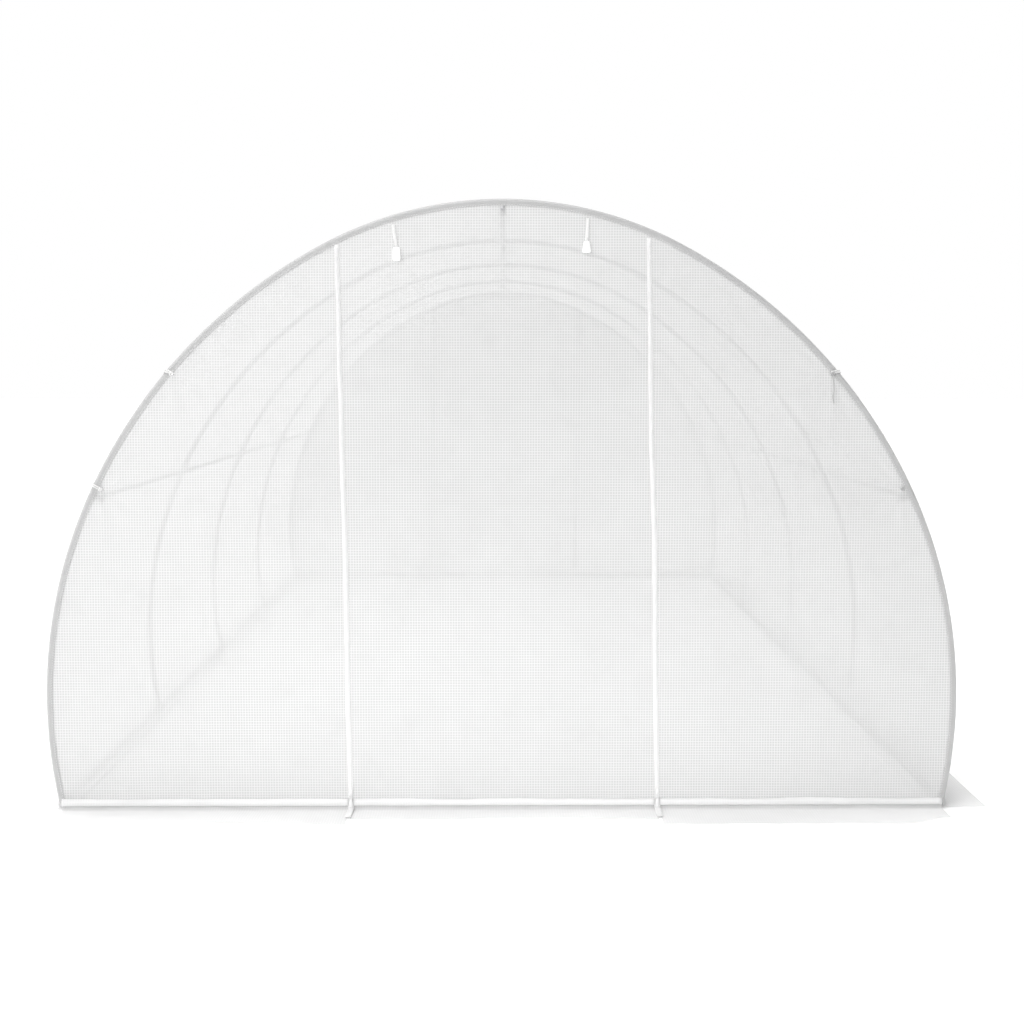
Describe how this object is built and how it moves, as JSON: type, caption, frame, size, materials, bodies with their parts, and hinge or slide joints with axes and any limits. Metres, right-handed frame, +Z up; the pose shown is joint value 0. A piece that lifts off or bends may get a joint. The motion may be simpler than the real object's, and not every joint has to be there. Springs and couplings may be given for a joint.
{
  "type": "polytunnel greenhouse",
  "caption": "Walk-in tunnel greenhouse: hooped steel tube frame under a white grid-reinforced film cover, with a zipped roll-up door in each end.",
  "frame": {"origin": "centre of the footprint on the ground", "axes": "+Z up, +Y along the tunnel from the front end to the back end, +X to the right seen from the front"},
  "size_m": [3.2134, 4.79, 1.9998],
  "materials": {
    "steel_tube": "satin",
    "cover_film": "satin",
    "zip_tape": "matte",
    "webbing": "matte",
    "toggle_plastic": "gloss"
  },
  "bodies": {
    "root": {"front_hoop": "steel_tube", "second_hoop": "steel_tube", "middle_hoop": "steel_tube", "fourth_hoop": "steel_tube", "back_hoop": "steel_tube", "ridge_purlin": "steel_tube", "left_purlin": "steel_tube", "right_purlin": "steel_tube", "left_base_rail": "steel_tube", "right_base_rail": "steel_tube", "front_base_rail": "steel_tube", "back_base_rail": "steel_tube", "cover_ridge": "cover_film", "cover_left_crown": "cover_film", "cover_right_crown": "cover_film", "cover_left_upper_shoulder": "cover_film", "cover_right_upper_shoulder": "cover_film", "cover_left_lower_shoulder": "cover_film", "cover_right_lower_shoulder": "cover_film", "cover_left_upper_wall": "cover_film", "cover_right_upper_wall": "cover_film", "cover_left_lower_wall": "cover_film", "cover_right_lower_wall": "cover_film", "front_left_panel": "cover_film", "front_door_panel": "cover_film", "front_right_panel": "cover_film", "front_zips": "zip_tape", "back_left_panel": "cover_film", "back_door_panel": "cover_film", "back_right_panel": "cover_film", "back_zips": "zip_tape", "front_ground_flaps": "cover_film", "back_ground_flaps": "cover_film", "left_ground_flap": "cover_film", "right_ground_flap": "cover_film", "front_left_strap": "webbing", "front_right_strap": "webbing", "front_left_toggle": "toggle_plastic", "front_right_toggle": "toggle_plastic", "back_left_strap": "webbing", "back_right_strap": "webbing", "back_left_toggle": "toggle_plastic", "back_right_toggle": "toggle_plastic", "front_tie_knots": "webbing", "tie_cord": "webbing"}
  },
  "joints": []
}
